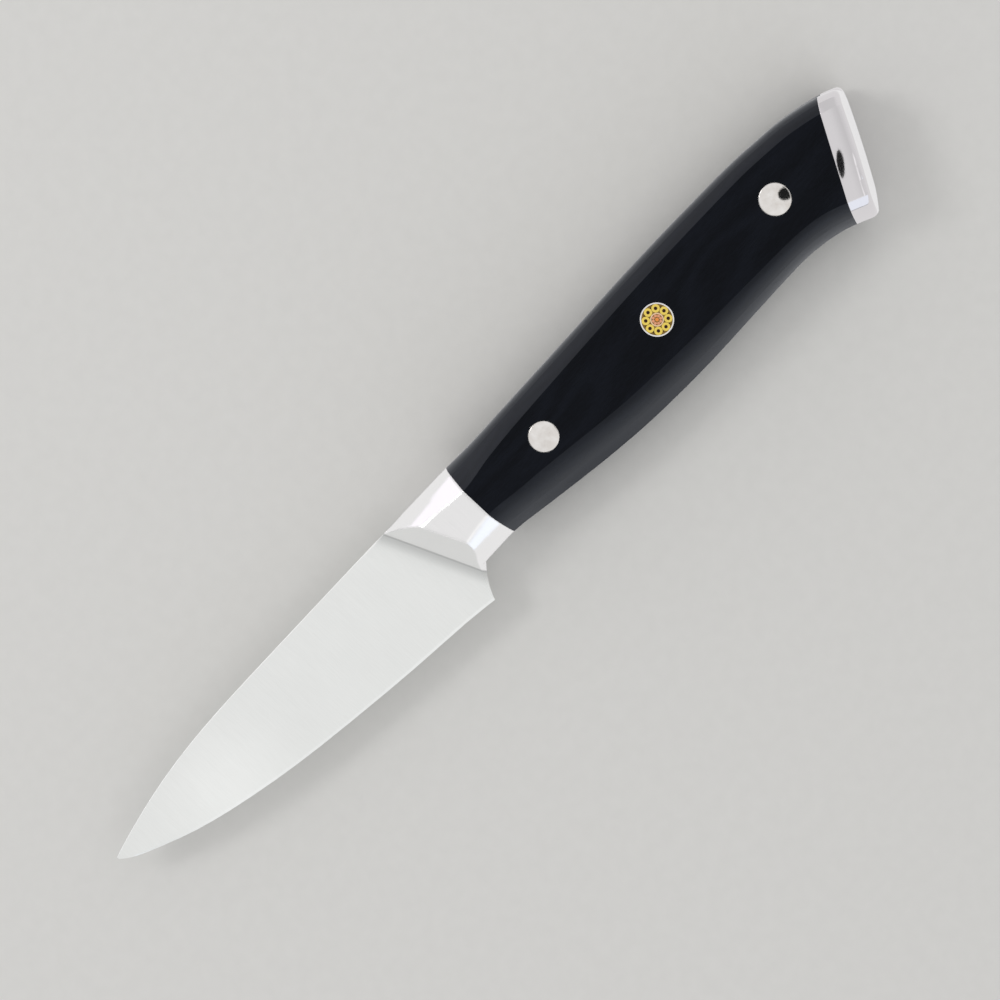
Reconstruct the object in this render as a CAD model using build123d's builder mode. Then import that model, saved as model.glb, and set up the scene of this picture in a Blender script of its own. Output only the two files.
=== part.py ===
from build123d import *
import os
from math import cos, pi, radians, sin, tan

os.makedirs("parts", exist_ok=True)

# A forged paring knife lying on its side. The blade, its bolster and the full tang are one forging.
# Two handle scales are riveted and bonded to the tang, a mosaic pin sits between the rivets, and a
# steel cap closes the butt. X runs from the tip to the butt, Y towards the spine, Z through the
# thickness. The origin lies under the middle of the knife, on the surface that it rests on.

# Driving dimensions, in millimetres and degrees
blade_length = 90.0
bolster_length = 12.98
handle_length = 107.0
spine_rise = 5.24
heel_drop = 19.5
bolster_height = 18.3
grip_height = 23.75
handle_thickness = 15.6
spine_thickness = 2.2
tang_thickness = 2.5

# Blade grind
shoulder_thickness = 0.28
cutting_bevel = 0.55
bevel_runout = 7.0
spine_ease = 0.12

# Bolster's front, choil and heel
crease_reach = 5.25
crease_angle = 22.8
sweep_width = 5.3
sweep_rise = 0.95
ramp_angle = 51.0
ramp_hollow = 0.12
choil_width = 4.5
choil_hollow = 0.45
choil_taper = 30.0
web_thickness = 5.2

# Handle section: the strips along spine and belly, the facets' slope, heights and crowns, the share of
# each facet's height that rounds over into the strip, and how much rounder the bolster's front is
strip_width = 4.0
facet_angle = 36.0
shoulder_share = 0.31
top_facet = 3.45
bottom_facet = 6.35
top_crown = 0.08
bottom_crown = 0.42
front_crown = 0.45

# Butt cap and the tang's tenon in it
cap_thickness = 4.4
cap_angle = 30.0
cap_dome = 0.34
dome_shift = 1.0
cap_edge_radius = 1.2
tenon_depth = 2.6
tenon_inset = 4.2

# Two-piece rivets
front_head_diameter = 6.2
rear_head_diameter = 6.5
head_depth = 1.8
head_dome = 0.12
barrel_diameter = 4.8
shank_diameter = 3.2
barrel_floor = 1.2
end_gap = 0.3

# Mosaic pin
mosaic_diameter = 6.65
mosaic_wall = 0.26
brass_count = 8
brass_bore = 0.7
brass_turn = 5.0
core_wall = 0.24
copper_count = 8
copper_turn = 20.0
centre_diameter = 0.72
resin_film = 0.04

# Clearances, overruns and the step between the sections of a loft
fit_clearance = 0.03
tenon_clearance = 0.05
grinding_allowance = 0.5
sink = 0.15
overrun = 2.0
station_step = 4.5

# Blade: distance from the tip as a share of the blade's length, the spine as a share of its rise and
# the cutting edge as a share of the heel's drop
blade_shares = (
    (0.0, 0.055, 0.012),
    (0.028, 0.2, 0.11),
    (0.068, 0.358, 0.1985),
    (0.13, 0.583, 0.322),
    (0.21, 0.8, 0.447),
    (0.31, 0.967, 0.564),
    (0.43, 1.04, 0.676),
    (0.58, 1.04, 0.779),
    (0.76, 1.03, 0.88),
    (0.92, 1.008, 0.95),
    (1.0, 0.975, 1.0),
    (1.085, 0.9, 1.05),
)

# Handle: distance behind the bolster as a share of the handle's length, how far the spine and the
# belly drop as shares of the handle's swell, the height of the top and bottom facets as shares of
# their sizes in the middle of the grip, and the share of the front's extra crown
handle_shares = (
    (-0.237, 0.06, 0.0, 1.54, 0.92, 1.0),
    (-0.12, 0.01, 0.0, 1.54, 0.92, 1.0),
    (-0.06, 0.02, 0.0, 1.57, 0.98, 0.6),
    (0.0, 0.036, 0.0, 1.65, 1.0, 0.0),
    (0.068, 0.08, 0.2, 1.34, 1.02, 0.0),
    (0.133, 0.082, 0.41, 1.18, 1.07, 0.0),
    (0.226, 0.071, 0.68, 1.1, 1.08, 0.0),
    (0.328, 0.062, 0.89, 1.02, 1.04, 0.0),
    (0.467, 0.02, 1.0, 0.99, 0.98, 0.0),
    (0.606, 0.04, 0.973, 0.95, 0.88, 0.0),
    (0.718, 0.1, 0.964, 0.9, 0.82, 0.0),
    (0.773, 0.15, 1.07, 0.87, 0.85, 0.0),
    (0.829, 0.26, 1.36, 0.84, 0.89, 0.0),
    (0.885, 0.4, 1.86, 0.84, 0.91, 0.0),
    (0.96, 0.79, 2.52, 0.84, 0.91, 0.0),
    (1.035, 1.5, 3.2, 0.84, 0.91, 0.0),
)

# Where the joint between the scales and the cap meets the spine, and the joint's own height as a
# share of the grip's; the cap's lowest corner as a share of the swell
butt_top_share = (0.9584, 0.776)
butt_height_share = 0.918
lowest_share = 1.7

# Rivets and mosaic pin: distance behind the bolster as a share of the handle's length and depth under
# the spine as a share of the grip's height
front_rivet_share = (0.1743, 0.42)
mosaic_share = (0.4724, 0.445)
rear_rivet_share = (0.7777, 0.48)

# Sizes and places worked out from those above; places along the knife are measured from the tip
overall_length = blade_length + bolster_length + handle_length
joint_x = blade_length + bolster_length
swell = grip_height - bolster_height
belly_y = spine_rise - bolster_height
lowest_y = belly_y - lowest_share * swell
half_thickness = handle_thickness / 2
half_tang = tang_thickness / 2
blade_height = spine_rise + heel_drop
grind_slope = (spine_thickness - shoulder_thickness) / 2 / blade_height
tip_point = Vector(-overall_length / 2, -(spine_rise + lowest_y) / 2, half_thickness)
middle = Plane(origin=tip_point)


def across(x):
    """The plane straight across the knife at a distance from the tip, its first axis up the spine."""
    return Plane(origin=tip_point + Vector(x, 0, 0), x_dir=(0, 1, 0), z_dir=(1, 0, 0))


def pin_place(pin_share):
    """The place of a rivet or pin, measured from the tip."""
    along_share, depth_share = pin_share
    return joint_x + along_share * handle_length, spine_rise - depth_share * grip_height


def side_plane(place, height, side):
    """A plane parallel to the handle's flat sides at a height off its middle, facing outwards."""
    origin = tip_point + Vector(place[0], place[1], side * height)
    return Plane(origin=origin, x_dir=(1, 0, 0), z_dir=(0, 0, side))


def row_at(table, along):
    """A table's values at any place along it, on a smooth curve through its rows."""
    last = len(table) - 1
    slopes = []
    for i in range(last + 1):
        before = table[max(i - 1, 0)]
        after = table[min(i + 1, last)]
        slopes.append([(b - a) / (after[0] - before[0]) for a, b in zip(before, after)])
    i = max(k for k in range(last) if k == 0 or table[k][0] <= along)
    run = table[i + 1][0] - table[i][0]
    t = (along - table[i][0]) / run
    values = []
    for low, high, low_slope, high_slope in zip(table[i], table[i + 1], slopes[i], slopes[i + 1]):
        blend = t * t * (3 - 2 * t)
        bend = t * (1 - t) * run * ((1 - t) * low_slope - t * high_slope)
        values.append(low + blend * (high - low) + bend)
    return values


def even_rows(table, length):
    """A table's rows read off at even steps, so that the loft through them has no waves."""
    first, last = table[0][0], table[-1][0]
    count = round((last - first) * length / station_step)
    return [row_at(table, first + (last - first) * k / count) for k in range(count + 1)]


def ring_radius(outer_radius, count):
    """The radius of rods that fill a ring inside a bore, each a film of resin from its neighbours."""
    spread = sin(pi / count)
    return (spread * (outer_radius - resin_film) - resin_film / 2) / (1 + spread)


# Outer shape that the bolster, the tang, the scales and the cap are ground to together: a section
# with two flat sides and four facets, which round over into a narrow strip along spine and belly
half_strip = strip_width / 2
facet_slope = tan(radians(facet_angle))
side_half = half_thickness + grinding_allowance
with BuildPart() as handle_shape:
    for row in even_rows(handle_shares, handle_length):
        along, top_drop, belly_drop, top_height, bottom_height, front = row
        top_y = spine_rise - top_drop * swell
        bottom_y = belly_y - belly_drop * swell
        facets = (
            (1, top_y, top_height * top_facet, top_crown + front * front_crown),
            (-1, bottom_y, bottom_height * bottom_facet, bottom_crown + front * front_crown),
        )
        with BuildSketch(across(joint_x + along * handle_length)):
            with BuildLine():
                for side in (1, -1):
                    flat_ends = []
                    for up, strip_y, height, crown in facets:
                        run = (1 - shoulder_share) * height
                        strip_edge = (strip_y, side * half_strip)
                        shoulder_y = strip_y - up * shoulder_share * height
                        shoulder = (shoulder_y, side * (half_thickness - run * facet_slope))
                        flat_run = run + grinding_allowance / facet_slope
                        flat_end = (shoulder_y - up * flat_run, side * side_half)
                        facet = SagittaArc(flat_end, shoulder, side * up * crown)
                        TangentArc(shoulder, strip_edge, tangent=facet % 1)
                        flat_ends.append(flat_end)
                    Line(*flat_ends)
                Line((top_y, -half_strip), (top_y, half_strip))
                Line((bottom_y, -half_strip), (bottom_y, half_strip))
            make_face()
    loft()
    with BuildSketch(middle):
        Rectangle(3 * overall_length, overall_length)
    extrude(amount=half_thickness, both=True, mode=Mode.INTERSECT)

# Joint between the bolster and the scales, and the leaning joint between the scales and the cap
joint_plane = across(joint_x)
butt_turn = radians(cap_angle)
butt_out = Vector(cos(butt_turn), -sin(butt_turn), 0)
butt_down = Vector(-sin(butt_turn), -cos(butt_turn), 0)
butt_height = butt_height_share * grip_height / cos(butt_turn)
butt_along, butt_drop = butt_top_share
butt_top = tip_point + Vector(joint_x + butt_along * handle_length, spine_rise - butt_drop * swell, 0)
butt_middle = butt_top + butt_down * (butt_height / 2)
butt_plane = Plane(origin=butt_middle, x_dir=butt_down, z_dir=butt_out)
tenon_height = butt_height - 2 * tenon_inset

# Rivets and mosaic pin
rivets = (
    ("front", pin_place(front_rivet_share), front_head_diameter),
    ("rear", pin_place(rear_rivet_share), rear_head_diameter),
)
mosaic_place = pin_place(mosaic_share)
head_floor = half_thickness - head_depth

# What is cut away in front of the bolster, on both sides of the blade: a shallow hollow sweep that
# runs out into the blade's ground face, and behind its crease a steep ramp up to the full thickness
crease_turn = radians(crease_angle)
crease_height = spine_thickness / 2 + sweep_rise
lean = grind_slope * cos(crease_turn)
sweep_start = sweep_rise + grind_slope * sin(crease_turn) * sweep_width
sweep_ahead = 3 * sweep_width
ramp_run = half_thickness / tan(radians(ramp_angle))
with BuildPart() as ramp_cut:
    for side in (1, -1):
        crease_plane = Plane(
            origin=tip_point + Vector(blade_length - crease_reach, spine_rise, side * crease_height),
            x_dir=(cos(crease_turn), sin(crease_turn), 0),
            z_dir=(side * sin(crease_turn), -side * cos(crease_turn), -lean),
        )
        with BuildSketch(crease_plane):
            with BuildLine():
                Line((-sweep_ahead, -sweep_start - sink), (-sweep_width, -sweep_start - sink))
                Line((-sweep_width, -sweep_start - sink), (-sweep_width, -sweep_start))
                TangentArc((-sweep_width, -sweep_start), (0, 0), tangent=(1, 0))
                SagittaArc((0, 0), (ramp_run, half_thickness), -ramp_hollow)
                Line((ramp_run, half_thickness), (-sweep_ahead, half_thickness))
                Line((-sweep_ahead, half_thickness), (-sweep_ahead, -sweep_start - sink))
            make_face()
        extrude(amount=2 * blade_height, both=True)

# What is cut away behind the heel: a hollow curve from the heel's corner up to the bolster's
# underside, widening outwards so that the rear edges are bevelled
choil_back = joint_x - choil_width / 2
choil_low = -heel_drop - 2 * overrun
with BuildPart() as choil_cut:
    with BuildSketch(middle):
        with BuildLine():
            SagittaArc((blade_length, -heel_drop), (blade_length + choil_width, belly_y), choil_hollow)
            Line((blade_length + choil_width, belly_y), (choil_back, belly_y))
            Line((choil_back, belly_y), (choil_back, choil_low))
            Line((choil_back, choil_low), (blade_length - sink, choil_low))
            Line((blade_length - sink, choil_low), (blade_length, -heel_drop))
        make_face()
    extrude(amount=web_thickness, both=True, taper=-choil_taper)

# Ground blade: flat faces from the eased spine down to a thin shoulder, then the small cutting bevel
shoulder_half = shoulder_thickness / 2
with BuildPart() as ground_blade:
    for along, rise, drop in even_rows(blade_shares, blade_length):
        top_y = rise * spine_rise
        edge_y = -drop * heel_drop
        spine_half = shoulder_half + grind_slope * (top_y - edge_y)
        ease = min(spine_ease, spine_half / 2)
        bevel_y = edge_y + cutting_bevel * min(1, (top_y - edge_y) / bevel_runout)
        with BuildSketch(across(along * blade_length)):
            Polygon(
                (top_y, spine_half - ease),
                (top_y - ease, spine_half),
                (bevel_y, shoulder_half),
                (edge_y, 0),
                (bevel_y, -shoulder_half),
                (top_y - ease, -spine_half),
                (top_y, ease - spine_half),
                align=None,
            )
    loft()
    add(choil_cut.part, mode=Mode.SUBTRACT)

# Web that carries the hollow sweep on below the bolster to the heel
web_top = belly_y + overrun
web_low = 2 * cutting_bevel - heel_drop
sweep_front = blade_length - crease_reach - sweep_width / cos(crease_turn)
with BuildPart() as heel_web:
    with BuildSketch(middle):
        Polygon(
            (sweep_front + (spine_rise - web_top) * tan(crease_turn), web_top),
            (choil_back, web_top),
            (choil_back, web_low),
            (sweep_front + (spine_rise - web_low) * tan(crease_turn), web_low),
            align=None,
        )
    extrude(amount=web_thickness / 2, both=True)
    add(ramp_cut.part, mode=Mode.SUBTRACT)
    add(choil_cut.part, mode=Mode.SUBTRACT)

# Full tang: it shows as a strip along the handle's spine and belly and ends in a tenon in the cap
with BuildPart() as tang:
    add(handle_shape.part)
    split(bisect_by=joint_plane, keep=Keep.TOP)
    split(bisect_by=butt_plane, keep=Keep.BOTTOM)
    with BuildSketch(middle):
        Rectangle(3 * overall_length, overall_length)
    extrude(amount=half_tang, both=True, mode=Mode.INTERSECT)
    with BuildSketch(butt_plane):
        Rectangle(tenon_height, tang_thickness)
    extrude(amount=tenon_depth)
    with BuildSketch(middle):
        for _, place, _ in rivets:
            with Locations(place):
                Circle(barrel_diameter / 2 + fit_clearance)
        with Locations(mosaic_place):
            Circle(mosaic_diameter / 2 + fit_clearance)
    extrude(amount=tang_thickness, both=True, mode=Mode.SUBTRACT)

# Blade, bolster and tang: one forging
with BuildPart() as blade:
    add(handle_shape.part)
    split(bisect_by=joint_plane, keep=Keep.BOTTOM)
    add(ramp_cut.part, mode=Mode.SUBTRACT)
    add(heel_web.part)
    add(ground_blade.part)
    add(tang.part)
blade.part.label = "blade"
export_step(blade.part, "parts/blade.step")

# Handle scales: black laminate bonded to the tang's faces, with a counterbore for each rivet's head
for name, side in (("left_scale", 1), ("right_scale", -1)):
    with BuildPart() as scale:
        add(handle_shape.part)
        split(bisect_by=joint_plane, keep=Keep.TOP)
        split(bisect_by=butt_plane, keep=Keep.BOTTOM)
        split(bisect_by=side_plane((0, 0), half_tang, side), keep=Keep.TOP)
        for _, place, head_diameter in rivets:
            with Locations(side_plane(place, half_thickness, side)):
                CounterBoreHole(
                    barrel_diameter / 2 + fit_clearance,
                    head_diameter / 2 + fit_clearance,
                    head_depth,
                )
        with Locations(side_plane(mosaic_place, half_thickness, side)):
            Hole(mosaic_diameter / 2 + fit_clearance)
    scale.part.label = name
    export_step(scale.part, f"parts/{name}.step")

# Butt cap: solid steel with rounded edges, slotted over the tang's tenon. Its end is gently domed, with
# the crown a little below the middle
dome_radius = ((butt_height / 2) ** 2 + cap_dome**2) / (2 * cap_dome)
with BuildPart() as butt_cap:
    add(handle_shape.part)
    split(bisect_by=butt_plane, keep=Keep.TOP)
    with BuildSketch(Plane(origin=butt_middle, x_dir=-butt_out, z_dir=(0, 0, 1))):
        with Locations((dome_radius - cap_thickness - cap_dome, dome_shift)):
            Circle(dome_radius)
    extrude(amount=handle_thickness, both=True, mode=Mode.INTERSECT)
    fillet(butt_cap.faces().sort_by(Axis(butt_middle, butt_out))[-1].edges(), radius=cap_edge_radius)
    with BuildSketch(butt_plane):
        Rectangle(tenon_height + 2 * tenon_clearance, tang_thickness + 2 * tenon_clearance)
    extrude(amount=tenon_depth + tenon_clearance, mode=Mode.SUBTRACT)
butt_cap.part.label = "butt_cap"
export_step(butt_cap.part, "parts/butt_cap.step")

# Two-piece rivets: the male half's shank is pressed into the female half's barrel. Both heads are
# buffed to a slight dome whose crown is level with the handle's flat side
head_rim = half_thickness - head_dome
shank_radius = shank_diameter / 2
bore_radius = shank_radius + fit_clearance
barrel_radius = barrel_diameter / 2
bore_floor = head_floor - barrel_floor
for name, place, head_diameter in rivets:
    head_radius = head_diameter / 2
    pin_origin = tip_point + Vector(place[0], place[1], 0)
    pin_axis = Axis(pin_origin, (0, 0, 1))

    with BuildPart() as male_half:
        with BuildSketch(Plane(origin=pin_origin, x_dir=(1, 0, 0), z_dir=(0, -1, 0))):
            with BuildLine():
                TangentArc((0, half_thickness), (head_radius, head_rim), tangent=(1, 0))
                Polyline(
                    (head_radius, head_rim),
                    (head_radius, head_floor),
                    (shank_radius, head_floor),
                    (shank_radius, end_gap - bore_floor),
                    (0, end_gap - bore_floor),
                    (0, half_thickness),
                )
            make_face()
        revolve(axis=pin_axis)
    male_half.part.label = f"{name}_rivet_male"
    export_step(male_half.part, f"parts/{name}_rivet_male.step")

    with BuildPart() as female_half:
        with BuildSketch(Plane(origin=pin_origin, x_dir=(1, 0, 0), z_dir=(0, 1, 0))):
            with BuildLine():
                TangentArc((0, half_thickness), (head_radius, head_rim), tangent=(1, 0))
                Polyline(
                    (head_radius, head_rim),
                    (head_radius, head_floor),
                    (barrel_radius, head_floor),
                    (barrel_radius, end_gap - head_floor),
                    (bore_radius, end_gap - head_floor),
                    (bore_radius, bore_floor),
                    (0, bore_floor),
                    (0, half_thickness),
                )
            make_face()
        revolve(axis=pin_axis)
    female_half.part.label = f"{name}_rivet_female"
    export_step(female_half.part, f"parts/{name}_rivet_female.step")

# Mosaic pin: a bundle of tubes and rods set in dark resin inside an outer tube, cut flush with both
# sides of the handle. Each ring of tubes or rods fills the space between its neighbours
mosaic_plane = Plane(origin=tip_point + Vector(mosaic_place[0], mosaic_place[1], 0))
mosaic_radius = mosaic_diameter / 2
tube_bore = mosaic_radius - mosaic_wall
brass_radius = ring_radius(tube_bore, brass_count)
brass_circle = tube_bore - resin_film - brass_radius
core_radius = brass_circle - brass_radius - resin_film
core_bore = core_radius - core_wall
copper_radius = ring_radius(core_bore, copper_count)
copper_circle = core_bore - resin_film - copper_radius

# Outer tube
with BuildPart() as mosaic_outer_tube:
    with BuildSketch(mosaic_plane):
        Circle(mosaic_radius)
        Circle(tube_bore, mode=Mode.SUBTRACT)
    extrude(amount=half_thickness, both=True)
mosaic_outer_tube.part.label = "mosaic_outer_tube"
export_step(mosaic_outer_tube.part, "parts/mosaic_outer_tube.step")

# Ring of brass tubes
for number in range(brass_count):
    with BuildPart() as brass_tube:
        with BuildSketch(mosaic_plane):
            with PolarLocations(brass_circle, 1, start_angle=brass_turn + 360 * number / brass_count):
                Circle(brass_radius)
                Circle(brass_bore / 2, mode=Mode.SUBTRACT)
        extrude(amount=half_thickness, both=True)
    brass_tube.part.label = f"mosaic_brass_tube_{number + 1}"
    export_step(brass_tube.part, f"parts/mosaic_brass_tube_{number + 1}.step")

# Core tube
with BuildPart() as mosaic_core_tube:
    with BuildSketch(mosaic_plane):
        Circle(core_radius)
        Circle(core_bore, mode=Mode.SUBTRACT)
    extrude(amount=half_thickness, both=True)
mosaic_core_tube.part.label = "mosaic_core_tube"
export_step(mosaic_core_tube.part, "parts/mosaic_core_tube.step")

# Ring of copper rods and the centre rod
for number in range(copper_count):
    with BuildPart() as copper_rod:
        with BuildSketch(mosaic_plane):
            with PolarLocations(copper_circle, 1, start_angle=copper_turn + 360 * number / copper_count):
                Circle(copper_radius)
        extrude(amount=half_thickness, both=True)
    copper_rod.part.label = f"mosaic_copper_rod_{number + 1}"
    export_step(copper_rod.part, f"parts/mosaic_copper_rod_{number + 1}.step")
with BuildPart() as mosaic_centre_rod:
    with BuildSketch(mosaic_plane):
        Circle(centre_diameter / 2)
    extrude(amount=half_thickness, both=True)
mosaic_centre_rod.part.label = "mosaic_centre_rod"
export_step(mosaic_centre_rod.part, "parts/mosaic_centre_rod.step")

# Resin between the tubes, in their bores and round the rods
with BuildPart() as mosaic_resin:
    with BuildSketch(mosaic_plane):
        Circle(tube_bore)
        with PolarLocations(brass_circle, brass_count, start_angle=brass_turn):
            Circle(brass_radius, mode=Mode.SUBTRACT)
            Circle(brass_bore / 2)
        Circle(core_radius, mode=Mode.SUBTRACT)
        Circle(core_bore)
        with PolarLocations(copper_circle, copper_count, start_angle=copper_turn):
            Circle(copper_radius, mode=Mode.SUBTRACT)
        Circle(centre_diameter / 2, mode=Mode.SUBTRACT)
    extrude(amount=half_thickness, both=True)
mosaic_resin.part.label = "mosaic_resin"
export_step(mosaic_resin.part, "parts/mosaic_resin.step")
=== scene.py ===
import math

import bpy
from mathutils import Matrix, Vector


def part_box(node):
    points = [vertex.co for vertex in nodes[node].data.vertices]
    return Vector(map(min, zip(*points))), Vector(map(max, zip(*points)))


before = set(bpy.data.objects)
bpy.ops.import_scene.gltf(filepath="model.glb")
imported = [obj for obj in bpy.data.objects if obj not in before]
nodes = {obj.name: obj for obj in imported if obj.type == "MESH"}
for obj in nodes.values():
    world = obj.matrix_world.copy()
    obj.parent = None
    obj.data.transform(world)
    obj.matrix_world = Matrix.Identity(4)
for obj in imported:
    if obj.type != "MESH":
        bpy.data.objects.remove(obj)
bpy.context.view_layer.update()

# Blade, bolster and tang
# One forging of stainless knife steel. The blade is ground thin on both sides and left satin. The
# bolster behind it, and the strips of the tang that show along the handle, are buffed bright.
mm = 0.001
ground_steel = "#EEEFED"
buffed_steel = "#F1F0F0"
blade_low, blade_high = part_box("blade")
knife_thickness = blade_high.z - blade_low.z

# The lines of the two finishes. A shade, here and below, is a share of the steel's full tone.
satin_turn = math.radians(90)
satin_line = 0.2 * mm
satin_line_length = 16 * mm
satin_shade = 0.965
buffing_turn = math.radians(78)
buffing_line = 0.14 * mm
buffing_line_length = 5 * mm
line_depth = 0.004 * mm

# The crease between the blade and the bolster: its upper end, the way across it, and how far it, the
# hollow sweep ahead of it and the soft edges behind it reach. The dark line along the crease and the
# grey of the sweep are painted shade, given as shares of the steel's tone.
scale_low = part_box("left_scale")[0]
crease_turn = math.radians(22.8)
crease_top = Vector((scale_low.x - 18.23 * mm, 13.78 * mm, 0))
across_crease = Vector((math.cos(crease_turn), math.sin(crease_turn), 0))
crease_line = across_crease.dot(crease_top)
crease_blend = 0.1 * mm
painted_crease_width = 0.35 * mm
painted_crease_shade = 0.74
painted_sweep_reach = 3 * mm
painted_sweep_shade = 0.68
ground_edge = 0.03 * mm
buffed_edge = 0.8 * mm
buffed_edge_start = 0.5 * mm
buffed_edge_full = 3 * mm
edge_samples = 6

# The bolster's front is the surface that faces the tip by more than these cosines. It gets painted
# shade: its colour is a little darker.
front_start = 0.5
front_full = 0.65
painted_front_shade = 0.96

# A painted highlight: the steel's colour is lightened in a soft patch behind the tip, for the light
# that the belly of the grind catches there
painted_highlight_place = Vector((blade_low.x + 25 * mm, 1 * mm, 2 * mm))
painted_highlight_reach = 21 * mm
painted_highlight_gain = 0.1

# Nearly all of a noise texture's values lie between these two.
noise_low = 0.3
noise_high = 0.7


def linear(hex_colour):
    """An sRGB hex colour as the linear colour that a shader takes."""
    channels = [int(hex_colour[i:i + 2], 16) / 255 for i in (1, 3, 5)]
    return [c / 12.92 if c <= 0.04045 else ((c + 0.055) / 1.055) ** 2.4 for c in channels] + [1.0]


def new_material(name):
    """An empty node material, with its Principled shader."""
    material = bpy.data.materials.new(name)
    material.use_nodes = True
    return material, material.node_tree.nodes["Principled BSDF"]


def add_node(holder, kind, settings=None, links=None):
    """Adds a node to a material or world, with its settings, socket values and links into its sockets."""
    node = holder.node_tree.nodes.new(kind)
    for name, value in (settings or {}).items():
        if isinstance(name, int) or name in node.inputs:
            node.inputs[name].default_value = value
        else:
            setattr(node, name, value)
    for name, output in (links or {}).items():
        holder.node_tree.links.new(output, node.inputs[name])
    return node


def link(holder, output, socket):
    """Links a node's output to a socket of another node."""
    holder.node_tree.links.new(output, socket)


def drawn_lines(material, place, turn, length, width):
    """Noise drawn out into lines that run at an angle to the knife: slow along them, fast across."""
    stretched = add_node(
        material,
        "ShaderNodeMapping",
        {"vector_type": "TEXTURE", "Rotation": (0, 0, turn), "Scale": (length, width, width)},
        {"Vector": place},
    )
    noise = add_node(
        material,
        "ShaderNodeTexNoise",
        {"Scale": 1.0, "Detail": 2.0, "Roughness": 0.6},
        {"Vector": stretched.outputs["Vector"]},
    )
    return noise.outputs["Fac"]


def cloud(material, place, size, low=0.0, high=1.0):
    """A slow mottling between two values, in patches of about the given size."""
    noise = add_node(material, "ShaderNodeTexNoise", {"Scale": 1 / size, "Detail": 2.0}, {"Vector": place})
    spread = add_node(
        material,
        "ShaderNodeMapRange",
        {"From Min": noise_low, "From Max": noise_high, "To Min": low, "To Max": high},
        {"Value": noise.outputs["Fac"]},
    )
    return spread.outputs["Result"]


# Stainless steel: satin ground ahead of the crease, where it looks soft and pale, and buffed behind
# it, where it mirrors the room. The real satin lines are finer, 0.05 mm: these are as coarse as shows.
forged_steel, shader = new_material("stainless_satin_blade_and_buffed_bolster")
shader.inputs["Metallic"].default_value = 1.0
place = add_node(forged_steel, "ShaderNodeTexCoord").outputs["Object"]
from_crease = add_node(
    forged_steel,
    "ShaderNodeVectorMath",
    {"operation": "DOT_PRODUCT", 1: across_crease},
    {0: place},
).outputs["Value"]
on_bolster = add_node(
    forged_steel,
    "ShaderNodeMapRange",
    {"From Min": crease_line - crease_blend, "From Max": crease_line + crease_blend},
    {"Value": from_crease},
).outputs["Result"]
steel_colour = add_node(
    forged_steel,
    "ShaderNodeMix",
    {"data_type": "RGBA", 6: linear(ground_steel), 7: linear(buffed_steel)},
    {"Factor": on_bolster},
).outputs[2]
satin = drawn_lines(forged_steel, place, satin_turn, satin_line_length, satin_line)
buffing = drawn_lines(forged_steel, place, buffing_turn, buffing_line_length, buffing_line)
satin_tone = add_node(
    forged_steel,
    "ShaderNodeMapRange",
    {"From Min": noise_low, "From Max": noise_high, "To Min": satin_shade, "To Max": 1.0},
    {"Value": satin},
).outputs["Result"]
# Painted highlight: the steel's tone is raised in a soft patch round that place.
to_painted_highlight = add_node(
    forged_steel,
    "ShaderNodeVectorMath",
    {"operation": "DISTANCE", 1: painted_highlight_place},
    {0: place},
).outputs["Value"]
painted_highlight = add_node(
    forged_steel,
    "ShaderNodeMapRange",
    {
        "interpolation_type": "SMOOTHSTEP",
        "From Max": painted_highlight_reach,
        "To Min": painted_highlight_gain,
        "To Max": 0.0,
    },
    {"Value": to_painted_highlight},
).outputs["Result"]
# The satin lines' tone, with the painted highlight added
satin_and_painted_light_tone = add_node(
    forged_steel,
    "ShaderNodeMath",
    {"operation": "ADD"},
    {0: satin_tone, 1: painted_highlight},
).outputs["Value"]

# Painted shade: the hollow sweep is painted greyer towards the crease, the crease itself gets a fine
# painted dark line, and the bolster's steep front is painted a shade duller than the rest.
painted_sweep_tone = add_node(
    forged_steel,
    "ShaderNodeMapRange",
    {
        "interpolation_type": "SMOOTHSTEP",
        "From Min": crease_line - painted_sweep_reach,
        "From Max": crease_line,
        "To Min": 1.0,
        "To Max": painted_sweep_shade,
    },
    {"Value": from_crease},
).outputs["Result"]
painted_sweep_on_blade = add_node(
    forged_steel,
    "ShaderNodeMix",
    {"data_type": "FLOAT", "B": 1.0},
    {"Factor": on_bolster, "A": painted_sweep_tone},
).outputs[0]
off_crease = add_node(
    forged_steel,
    "ShaderNodeMath",
    {"operation": "SUBTRACT", 1: crease_line},
    {0: from_crease},
).outputs["Value"]
to_crease = add_node(
    forged_steel,
    "ShaderNodeMath",
    {"operation": "ABSOLUTE"},
    {0: off_crease},
).outputs["Value"]
painted_crease_tone = add_node(
    forged_steel,
    "ShaderNodeMapRange",
    {
        "interpolation_type": "SMOOTHSTEP",
        "From Max": painted_crease_width,
        "To Min": painted_crease_shade,
        "To Max": 1.0,
    },
    {"Value": to_crease},
).outputs["Result"]
facing_tip = add_node(
    forged_steel,
    "ShaderNodeVectorMath",
    {"operation": "DOT_PRODUCT", 1: -across_crease},
    {0: add_node(forged_steel, "ShaderNodeNewGeometry").outputs["Normal"]},
).outputs["Value"]
painted_front_tone = add_node(
    forged_steel,
    "ShaderNodeMapRange",
    {"From Min": front_start, "From Max": front_full, "To Min": 1.0, "To Max": painted_front_shade},
    {"Value": facing_tip},
).outputs["Result"]
for painted_shade_tone in (painted_sweep_on_blade, painted_crease_tone, painted_front_tone):
    satin_and_painted_light_tone = add_node(
        forged_steel,
        "ShaderNodeMath",
        {"operation": "MULTIPLY"},
        {0: satin_and_painted_light_tone, 1: painted_shade_tone},
    ).outputs["Value"]
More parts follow.
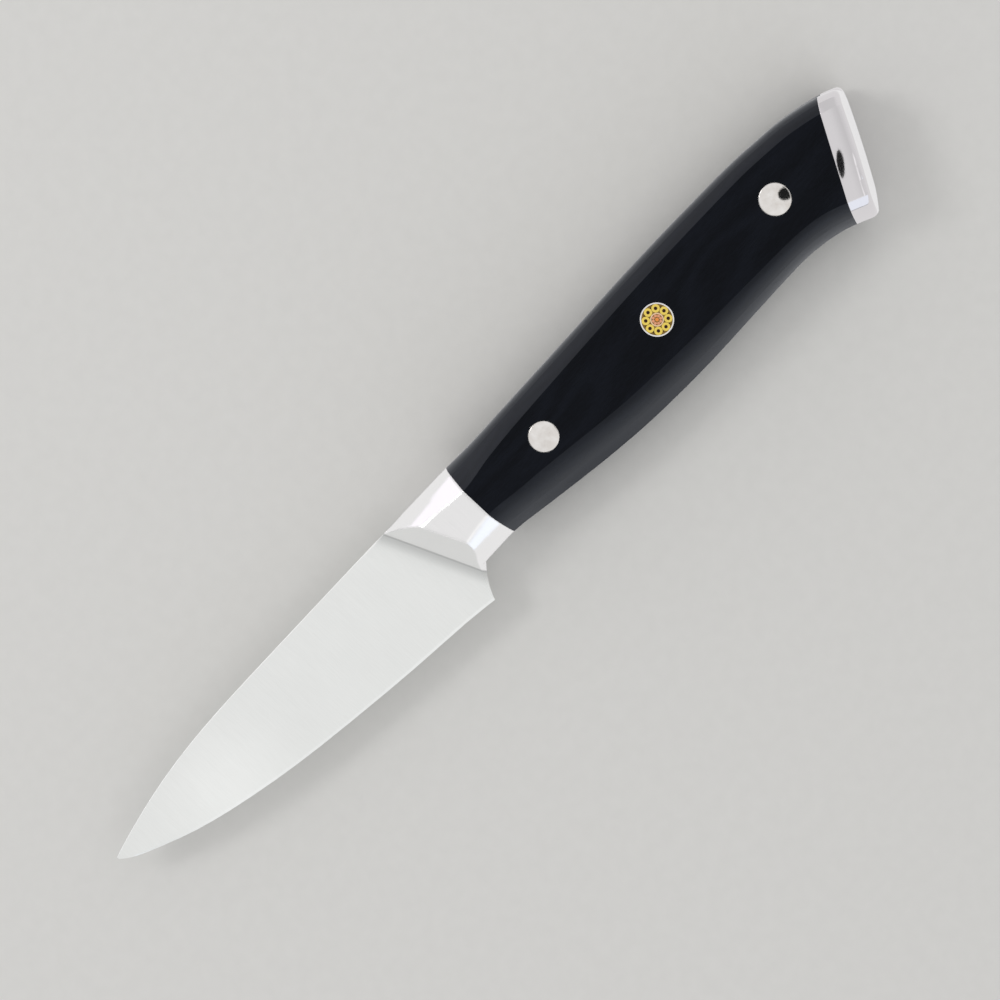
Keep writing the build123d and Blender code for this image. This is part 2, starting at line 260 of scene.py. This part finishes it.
# The steel's colour times its tone: the satin lines with the painted highlight and painted shade
steel_with_painted_light = add_node(
    forged_steel,
    "ShaderNodeVectorMath",
    {"operation": "SCALE"},
    {0: steel_colour, "Scale": satin_and_painted_light_tone},
).outputs["Vector"]
link(forged_steel, steel_with_painted_light, shader.inputs["Base Color"])
roughness = add_node(
    forged_steel,
    "ShaderNodeMix",
    {"data_type": "FLOAT"},
    {
        "Factor": on_bolster,
        "A": cloud(forged_steel, place, 9 * mm, low=0.36, high=0.42),
        "B": cloud(forged_steel, place, 4 * mm, low=0.11, high=0.17),
    },
).outputs[0]
link(forged_steel, roughness, shader.inputs["Roughness"])

# The lines are cut into the surface, and buffing has rounded the bolster's edges.
lines = add_node(
    forged_steel,
    "ShaderNodeMix",
    {"data_type": "FLOAT"},
    {"Factor": on_bolster, "A": satin, "B": buffing},
).outputs[0]
edge_radius = add_node(
    forged_steel,
    "ShaderNodeMapRange",
    {
        "From Min": crease_line + buffed_edge_start,
        "From Max": crease_line + buffed_edge_full,
        "To Min": ground_edge,
        "To Max": buffed_edge,
    },
    {"Value": from_crease},
).outputs["Result"]
soft_edge = add_node(
    forged_steel,
    "ShaderNodeBevel",
    {"samples": edge_samples},
    {"Radius": edge_radius},
).outputs["Normal"]
relief = add_node(
    forged_steel,
    "ShaderNodeBump",
    {"Strength": 0.3, "Distance": line_depth},
    {"Height": lines, "Normal": soft_edge},
)
link(forged_steel, relief.outputs["Normal"], shader.inputs["Normal"])
nodes["blade"].data.materials[0] = forged_steel

# Handle scales
# Two slabs of black laminate, layers of fabric pressed in phenolic resin, bonded and riveted to the
# tang and ground flush with it. They are sanded fine and oiled.
layer_dark = "#010102"
layer_light = "#0A0C12"
painted_sheen_grey = "#5A5C60"
layer_pitch = 1.3 * mm
fibre_width = 0.16 * mm
fibre_length = 1.8 * mm
fibre_depth = 0.006 * mm
figure_length = 38 * mm
figure_width = 11 * mm
figure_rings = 5.0
ring_share = 0.16
figure_low = 0.25
figure_high = 0.8

# How far the surface turns from the eye before the painted sheen starts, and where it is full: 1 is
# edge on.
painted_sheen_start = 0.1
painted_sheen_full = 0.75

# Black laminate: almost no colour of its own and a dull gloss. Its layers run out of the flat sides in
# wavy rings, a shade bluer and lighter than the rest. Where it is seen at a glancing angle, a grey
# sheen is painted into its colour: a painted rim light along the handle.
laminate, shader = new_material("black_laminate_sanded_and_oiled")
place = add_node(laminate, "ShaderNodeTexCoord").outputs["Object"]
drawn_out = add_node(
    laminate,
    "ShaderNodeMapping",
    {"Scale": (1 / figure_length, 1 / figure_width, 1 / figure_length)},
    {"Vector": place},
).outputs["Vector"]
warp = add_node(
    laminate,
    "ShaderNodeTexNoise",
    {"Scale": 1.0, "Detail": 1.5, "Roughness": 0.4},
    {"Vector": drawn_out},
).outputs["Fac"]
layer_depth = add_node(
    laminate,
    "ShaderNodeMath",
    {"operation": "DIVIDE", 1: layer_pitch / math.tau},
    {0: add_node(laminate, "ShaderNodeSeparateXYZ", {}, {"Vector": place}).outputs["Z"]},
).outputs["Value"]
layer_phase = add_node(
    laminate,
    "ShaderNodeMath",
    {"operation": "MULTIPLY_ADD", 1: figure_rings * math.tau},
    {0: warp, 2: layer_depth},
).outputs["Value"]
ring = add_node(laminate, "ShaderNodeMath", {"operation": "SINE"}, {0: layer_phase}).outputs["Value"]
fibre = drawn_lines(laminate, place, 0.0, fibre_length, fibre_width)
figure = add_node(
    laminate,
    "ShaderNodeMath",
    {"operation": "MULTIPLY_ADD", 1: ring_share},
    {0: ring, 2: fibre},
).outputs["Value"]
layer_tone = add_node(
    laminate,
    "ShaderNodeMapRange",
    {"From Min": figure_low, "From Max": figure_high},
    {"Value": figure},
).outputs["Result"]
black = add_node(
    laminate,
    "ShaderNodeMix",
    {"data_type": "RGBA", 6: linear(layer_dark), 7: linear(layer_light)},
    {"Factor": layer_tone},
).outputs[2]
# Painted sheen: the colour turns grey where the surface is seen edge on.
turned_away = add_node(laminate, "ShaderNodeLayerWeight", {"Blend": 0.5}).outputs["Facing"]
painted_sheen_share = add_node(
    laminate,
    "ShaderNodeMapRange",
    {"From Min": painted_sheen_start, "From Max": painted_sheen_full},
    {"Value": turned_away},
).outputs["Result"]
black_with_painted_sheen = add_node(
    laminate,
    "ShaderNodeMix",
    {"data_type": "RGBA", 7: linear(painted_sheen_grey)},
    {"Factor": painted_sheen_share, 6: black},
).outputs[2]
link(laminate, black_with_painted_sheen, shader.inputs["Base Color"])
shader.inputs["Specular IOR Level"].default_value = 0.11
shader.inputs["Specular Tint"].default_value = (0.86, 0.95, 1.16, 1.0)
shader.inputs["Sheen Weight"].default_value = 0.3
shader.inputs["Sheen Roughness"].default_value = 0.2
link(laminate, cloud(laminate, place, 6 * mm, low=0.24, high=0.32), shader.inputs["Roughness"])
grain = add_node(
    laminate,
    "ShaderNodeBump",
    {"Strength": 0.2, "Distance": fibre_depth},
    {"Height": fibre},
)
link(laminate, grain.outputs["Normal"], shader.inputs["Normal"])
for name in ("left_scale", "right_scale"):
    nodes[name].data.materials[0] = laminate

# Butt cap
# A solid cap of the same steel, slotted over the end of the tang and bonded there. It is ground flush
# with the handle and then buffed, which leaves its flat side faintly crowned and its edges soft.
cap_tone = "#DAD7D9"
cap_edge = 0.2 * mm
cap_line_turn = math.radians(60)
polish_depth = 0.003 * mm

# The crown of the flat: its top, its lean, and its radii across the leaning cap and along it. It has
# none through the cap. The flat is the surface that faces up by more than these cosines.
crown_place = Vector((93.2 * mm, -2.74 * mm, 0))
crown_lean = math.radians(39.4)
crown_radius = 27 * mm
crown_length = 108 * mm
no_crown = 1000.0
flat_start = 0.9
flat_full = 0.98

# Buffed stainless steel: it mirrors the room, softened by fine buffing lines that run across the cap
cap_steel, shader = new_material("stainless_buffed_cap")
shader.inputs["Metallic"].default_value = 1.0
shader.inputs["Base Color"].default_value = linear(cap_tone)
place = add_node(cap_steel, "ShaderNodeTexCoord").outputs["Object"]
link(cap_steel, cloud(cap_steel, place, 3 * mm, low=0.03, high=0.06), shader.inputs["Roughness"])
buffing = drawn_lines(cap_steel, place, cap_line_turn, buffing_line_length, buffing_line)
soft_edge = add_node(
    cap_steel,
    "ShaderNodeBevel",
    {"samples": edge_samples, "Radius": cap_edge},
).outputs["Normal"]
off_crown = add_node(
    cap_steel,
    "ShaderNodeMapping",
    {
        "vector_type": "TEXTURE",
        "Location": crown_place,
        "Rotation": (0, 0, -crown_lean),
        "Scale": (math.sqrt(2 * crown_radius), math.sqrt(2 * crown_length), no_crown),
    },
    {"Vector": place},
).outputs["Vector"]
crown = add_node(
    cap_steel,
    "ShaderNodeVectorMath",
    {"operation": "DOT_PRODUCT"},
    {0: off_crown, 1: off_crown},
).outputs["Value"]
crowned = add_node(
    cap_steel,
    "ShaderNodeBump",
    {"invert": True, "Strength": 1.0, "Distance": 1.0},
    {"Height": crown, "Normal": soft_edge},
).outputs["Normal"]
facing_up = add_node(
    cap_steel,
    "ShaderNodeSeparateXYZ",
    {},
    {"Vector": add_node(cap_steel, "ShaderNodeNewGeometry").outputs["Normal"]},
).outputs["Z"]
flat_share = add_node(
    cap_steel,
    "ShaderNodeMapRange",
    {"From Min": flat_start, "From Max": flat_full},
    {"Value": facing_up},
).outputs["Result"]
ground_cap = add_node(
    cap_steel,
    "ShaderNodeMix",
    {"data_type": "VECTOR"},
    {"Factor": flat_share, 4: soft_edge, 5: crowned},
).outputs[1]
relief = add_node(
    cap_steel,
    "ShaderNodeBump",
    {"Strength": 0.3, "Distance": polish_depth},
    {"Height": buffing, "Normal": ground_cap},
)
link(cap_steel, relief.outputs["Normal"], shader.inputs["Normal"])
nodes["butt_cap"].data.materials[0] = cap_steel

# Rivets
# Two-piece stainless rivets, pressed together through the tang and ground flush with the scales, then
# buffed with the handle to a slight dome.
rivet_dark = "#DCD7D2"
rivet_light = "#ECE9E6"
rivet_edge = 0.35 * mm
scratch_turn = math.radians(-40)
rivet_line = 0.09 * mm
rivet_line_length = 2.5 * mm

# Buffed stainless steel: bright, with the fine scratches of the handle's last sanding. The real ones
# are finer, about 0.02 mm: these are as coarse as shows.
rivet_steel, shader = new_material("stainless_buffed_rivet")
shader.inputs["Metallic"].default_value = 1.0
place = add_node(rivet_steel, "ShaderNodeTexCoord").outputs["Object"]
rivet_tone = add_node(
    rivet_steel,
    "ShaderNodeMix",
    {"data_type": "RGBA", 6: linear(rivet_dark), 7: linear(rivet_light)},
    {"Factor": cloud(rivet_steel, place, 1.6 * mm)},
)
link(rivet_steel, rivet_tone.outputs[2], shader.inputs["Base Color"])
link(rivet_steel, cloud(rivet_steel, place, 2 * mm, low=0.02, high=0.05), shader.inputs["Roughness"])
scratches = drawn_lines(rivet_steel, place, scratch_turn, rivet_line_length, rivet_line)
soft_edge = add_node(
    rivet_steel,
    "ShaderNodeBevel",
    {"samples": edge_samples, "Radius": rivet_edge},
).outputs["Normal"]
relief = add_node(
    rivet_steel,
    "ShaderNodeBump",
    {"Strength": 0.3, "Distance": polish_depth},
    {"Height": scratches, "Normal": soft_edge},
)
link(rivet_steel, relief.outputs["Normal"], shader.inputs["Normal"])
for name in ("front_rivet_male", "front_rivet_female", "rear_rivet_male", "rear_rivet_female"):
    nodes[name].data.materials[0] = rivet_steel

# Mosaic pin
# Brass tubes round a core of copper rods, set in dark resin inside a steel tube, cut off flush and
# sanded with the handle.
sanding_line = 0.06 * mm
sanding_line_length = 1.2 * mm
bore_resin = "#2A0C04"
gap_resin_dark = "#5C4618"
gap_resin_light = "#8A6C2E"
pin_low, pin_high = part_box("mosaic_outer_tube")
pin_middle = Vector(((pin_low.x + pin_high.x) / 2, (pin_low.y + pin_high.y) / 2, 0))
brass_low, brass_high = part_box("mosaic_brass_tube_1")
brass_middle = Vector(((brass_low.x + brass_high.x) / 2, (brass_low.y + brass_high.y) / 2, 0))
ring_radius = (brass_middle - pin_middle).length

# How far from the ring through the brass tubes' middles the resin of their bores ends, and that of
# the gaps between the tubes starts
bore_reach = 0.35 * mm
gap_reach = 0.5 * mm


def sanded_metal(name, dark, light):
    """A metal that was sanded flush: two close tones in fine lines, with a satin gloss."""
    metal, metal_shader = new_material(name)
    metal_shader.inputs["Metallic"].default_value = 1.0
    metal_shader.inputs["Roughness"].default_value = 0.24
    metal_place = add_node(metal, "ShaderNodeTexCoord").outputs["Object"]
    sanding = drawn_lines(metal, metal_place, scratch_turn, sanding_line_length, sanding_line)
    metal_tone = add_node(
        metal,
        "ShaderNodeMix",
        {"data_type": "RGBA", 6: linear(dark), 7: linear(light)},
        {"Factor": sanding},
    )
    link(metal, metal_tone.outputs[2], metal_shader.inputs["Base Color"])
    metal_relief = add_node(
        metal,
        "ShaderNodeBump",
        {"Strength": 0.2, "Distance": polish_depth},
        {"Height": sanding},
    )
    link(metal, metal_relief.outputs["Normal"], metal_shader.inputs["Normal"])
    return metal


# Brass, copper, bronze and steel, each with the same satin of the last sanding. The real lines are
# finer here too.
brass = sanded_metal("brass_sanded", "#E2BE46", "#FFEA80")
copper = sanded_metal("copper_sanded", "#D88A62", "#F8B896")
centre_copper = sanded_metal("copper_sanded_centre", "#E08440", "#FFA860")
core_metal = sanded_metal("bronze_sanded", "#E2B890", "#FBDDBE")
tube_steel = sanded_metal("stainless_sanded", "#E2DFDC", "#FAF8F6")

# Cast resin: clear amber, a little cloudy and glossy. It looks dark brown down the tubes' bores, and
# olive between the tubes, where the brass shines through it.
resin, shader = new_material("amber_resin_cast")
place = add_node(resin, "ShaderNodeTexCoord").outputs["Object"]
flat_place = add_node(
    resin,
    "ShaderNodeVectorMath",
    {"operation": "MULTIPLY", 1: (1, 1, 0)},
    {0: place},
).outputs["Vector"]
from_axis = add_node(
    resin,
    "ShaderNodeVectorMath",
    {"operation": "DISTANCE", 1: pin_middle},
    {0: flat_place},
).outputs["Value"]
off_ring = add_node(
    resin,
    "ShaderNodeMath",
    {"operation": "SUBTRACT", 1: ring_radius},
    {0: from_axis},
).outputs["Value"]
to_ring = add_node(resin, "ShaderNodeMath", {"operation": "ABSOLUTE"}, {0: off_ring}).outputs["Value"]
in_gap = add_node(
    resin,
    "ShaderNodeMapRange",
    {"From Min": bore_reach, "From Max": gap_reach},
    {"Value": to_ring},
).outputs["Result"]
gap_resin = add_node(
    resin,
    "ShaderNodeMix",
    {"data_type": "RGBA", 6: linear(gap_resin_dark), 7: linear(gap_resin_light)},
    {"Factor": cloud(resin, place, 0.4 * mm)},
).outputs[2]
resin_tone = add_node(
    resin,
    "ShaderNodeMix",
    {"data_type": "RGBA", 6: linear(bore_resin)},
    {"Factor": in_gap, 7: gap_resin},
)
link(resin, resin_tone.outputs[2], shader.inputs["Base Color"])
shader.inputs["Specular IOR Level"].default_value = 0.2
shader.inputs["Roughness"].default_value = 0.3
for name, node in nodes.items():
    if name.startswith("mosaic_brass"):
        node.data.materials[0] = brass
    if name.startswith("mosaic_copper"):
        node.data.materials[0] = copper
nodes["mosaic_centre_rod"].data.materials[0] = centre_copper
nodes["mosaic_core_tube"].data.materials[0] = core_metal
nodes["mosaic_outer_tube"].data.materials[0] = tube_steel
nodes["mosaic_resin"].data.materials[0] = resin

# Studio: the floor
# A sheet of pale grey board, matt, with the faint mottling of its pulp. It takes the knife's soft
# shadow, and the polished steel mirrors it nearly white.
board_dark = "#CECDCA"
board_light = "#D0CFCC"
board_mottling = 3 * mm
board_size = 6.0
board_drop = 0.05 * mm
mirrored_white = 0.8
bpy.ops.mesh.primitive_plane_add(size=board_size, location=(0, 0, -board_drop))
floor = bpy.context.object
floor.name = "floor"
board, shader = new_material("pale_grey_board")
place = add_node(board, "ShaderNodeTexCoord").outputs["Object"]
board_tone = add_node(
    board,
    "ShaderNodeMix",
    {"data_type": "RGBA", 6: linear(board_dark), 7: linear(board_light)},
    {"Factor": cloud(board, place, board_mottling)},
)
link(board, board_tone.outputs[2], shader.inputs["Base Color"])
shader.inputs["Roughness"].default_value = 0.85
shader.inputs["Specular IOR Level"].default_value = 0.0
white_share = add_node(
    board,
    "ShaderNodeMath",
    {"operation": "MULTIPLY", 1: mirrored_white},
    {0: add_node(board, "ShaderNodeLightPath").outputs["Is Glossy Ray"]},
).outputs["Value"]
white_board = add_node(board, "ShaderNodeEmission", {"Color": (1, 1, 1, 1), "Strength": 1.0})
seen_board = add_node(
    board,
    "ShaderNodeMixShader",
    {},
    {0: white_share, 1: shader.outputs["BSDF"], 2: white_board.outputs["Emission"]},
)
link(board, seen_board.outputs["Shader"], board.node_tree.nodes["Material Output"].inputs["Surface"])
floor.data.materials.append(board)

# Studio: the room
# A white room, a little darker in a band high up beyond the tip and in one across its ceiling. A long
# softbox low down on each side of the knife lights the facets along the spine and the belly, and a
# dark gap under the wall beyond the tip draws the thin lines round the bolster's front.
room_tones = (  # from the tip's side to the butt's: how far along, and how white
    (0.0, 0.97),
    (0.1, 0.97),
    (0.2, 0.72),
    (0.27, 0.76),
    (0.4, 0.9),
    (0.5, 0.9),
    (0.57, 0.76),
    (1.0, 0.9),
)
gap_light = (0.3, 0.3, 0.3)
belly_ceiling_light = (1.2, 1.2, 1.2)
softbox_level = 1.15
spine_side_light = Vector((1.02, 0.99, 1.04)) * softbox_level
belly_side_light = Vector((0.95, 1.0, 1.08)) * softbox_level
softbox_bottom = (0.0, 0.06)
softbox_top = (0.62, 0.4)

# Each panel's heading in degrees, how it fades in from its sides as cosines off that heading, how it
# fades in above its bottom and below its top, as the sine of the height, and its light
panels = (
    (180, (0.2, 0.6), (-0.01, 0.02), (0.07, 0.04), gap_light),
    (-90, (0.6, 0.9), (0.7, 0.8), (0.96, 0.9), belly_ceiling_light),
    (105, (0.88, 0.94), softbox_bottom, softbox_top, spine_side_light),
    (-102, (0.74, 0.86), softbox_bottom, softbox_top, belly_side_light),
)
world = bpy.data.worlds.new("white_room")
bpy.context.scene.world = world
world.use_nodes = True
direction = add_node(world, "ShaderNodeTexCoord").outputs["Generated"]
along_and_up = add_node(world, "ShaderNodeSeparateXYZ", {}, {"Vector": direction})
height = along_and_up.outputs["Z"]
level = add_node(world, "ShaderNodeVectorMath", {"operation": "MULTIPLY", 1: (1, 1, 0)}, {0: direction})
level_direction = add_node(
    world,
    "ShaderNodeVectorMath",
    {"operation": "NORMALIZE"},
    {0: level.outputs["Vector"]},
).outputs["Vector"]
along_share = add_node(
    world,
    "ShaderNodeMapRange",
    {"From Min": -1.0, "From Max": 1.0},
    {"Value": along_and_up.outputs["X"]},
).outputs["Result"]
ramp = add_node(world, "ShaderNodeValToRGB", {}, {"Fac": along_share})
ramp.color_ramp.interpolation = "EASE"
stops = ramp.color_ramp.elements
stops.remove(stops[1])
for number, (share, tone) in enumerate(room_tones):
    stop = stops[0] if number == 0 else stops.new(share)
    stop.color = (tone, tone, tone, 1.0)
room = ramp.outputs["Color"]
for heading, sides, bottom, top, light in panels:
    turn = math.radians(heading)
    facing = add_node(
        world,
        "ShaderNodeVectorMath",
        {"operation": "DOT_PRODUCT", 1: (math.cos(turn), math.sin(turn), 0)},
        {0: level_direction},
    ).outputs["Value"]
    panel = None
    for value, (start, full) in ((facing, sides), (height, bottom), (height, top)):
        fade = add_node(
            world,
            "ShaderNodeMapRange",
            {"interpolation_type": "SMOOTHSTEP", "From Min": start, "From Max": full},
            {"Value": value},
        ).outputs["Result"]
        if panel:
            fade = add_node(
                world,
                "ShaderNodeMath",
                {"operation": "MULTIPLY"},
                {0: panel, 1: fade},
            ).outputs["Value"]
        panel = fade
    room = add_node(
        world,
        "ShaderNodeMix",
        {"data_type": "RGBA", 7: (*light, 1.0)},
        {"Factor": panel, 6: room},
    ).outputs[2]
background = world.node_tree.nodes["Background"]
background.inputs["Strength"].default_value = 1.0
link(world, room, background.inputs["Color"])

# Studio: the key lamp
# A square softbox high on the spine's side and towards the tip, turned to the knife. It draws the soft
# shadow on the belly's side.
lamp_size = 350 * mm
lamp_power = 2.4
lamp_place = Vector((-350 * mm, 750 * mm, 850 * mm))
lamp_data = bpy.data.lights.new("key_softbox", "AREA")
lamp_data.shape = "SQUARE"
lamp_data.size = lamp_size
lamp_data.energy = lamp_power
lamp = bpy.data.objects.new("key_softbox", lamp_data)
lamp.location = lamp_place
lamp.rotation_euler = (-lamp_place).to_track_quat("-Z", "Y").to_euler()
bpy.context.scene.collection.objects.link(lamp)

# Studio: the camera
# It looks down on the knife from a little towards the butt, turned so that the knife lies aslant. Its
# own black body shows in the polished steel, so a black disc stands for it, unseen by the camera.
camera_distance = 1332 * mm
camera_lean = math.radians(10.5)
camera_turn = math.radians(47)
frame_width = 195.26 * mm
sensor_width = 36.0
knife_middle = Vector((0.22 * mm, 1.63 * mm, knife_thickness / 2))
body_radius = 72 * mm
body_place = (37 * mm, -34 * mm, 1330 * mm)
body_black = "#101214"
camera_data = bpy.data.cameras.new("camera")
camera_data.sensor_width = sensor_width
camera_data.lens = sensor_width * camera_distance / frame_width
away = Vector((math.sin(camera_lean), 0, math.cos(camera_lean)))
side = Vector((math.cos(camera_lean), 0, -math.sin(camera_lean)))
spine = Vector((0, 1, 0))
camera_right = side * math.cos(camera_turn) - spine * math.sin(camera_turn)
camera_up = side * math.sin(camera_turn) + spine * math.cos(camera_turn)
camera_axes = Matrix((camera_right, camera_up, away)).transposed().to_4x4()
camera = bpy.data.objects.new("camera", camera_data)
camera.matrix_world = Matrix.Translation(knife_middle + away * camera_distance) @ camera_axes
bpy.context.scene.collection.objects.link(camera)
bpy.context.scene.camera = camera
bpy.context.scene.view_settings.view_transform = "Standard"
bpy.ops.mesh.primitive_circle_add(vertices=48, radius=body_radius, fill_type="NGON", location=body_place)
camera_body = bpy.context.object
camera_body.name = "camera_body"
camera_body.visible_camera = False
camera_body.visible_shadow = False
matt_black, shader = new_material("matt_black_camera")
shader.inputs["Base Color"].default_value = linear(body_black)
shader.inputs["Roughness"].default_value = 0.9
camera_body.data.materials.append(matt_black)
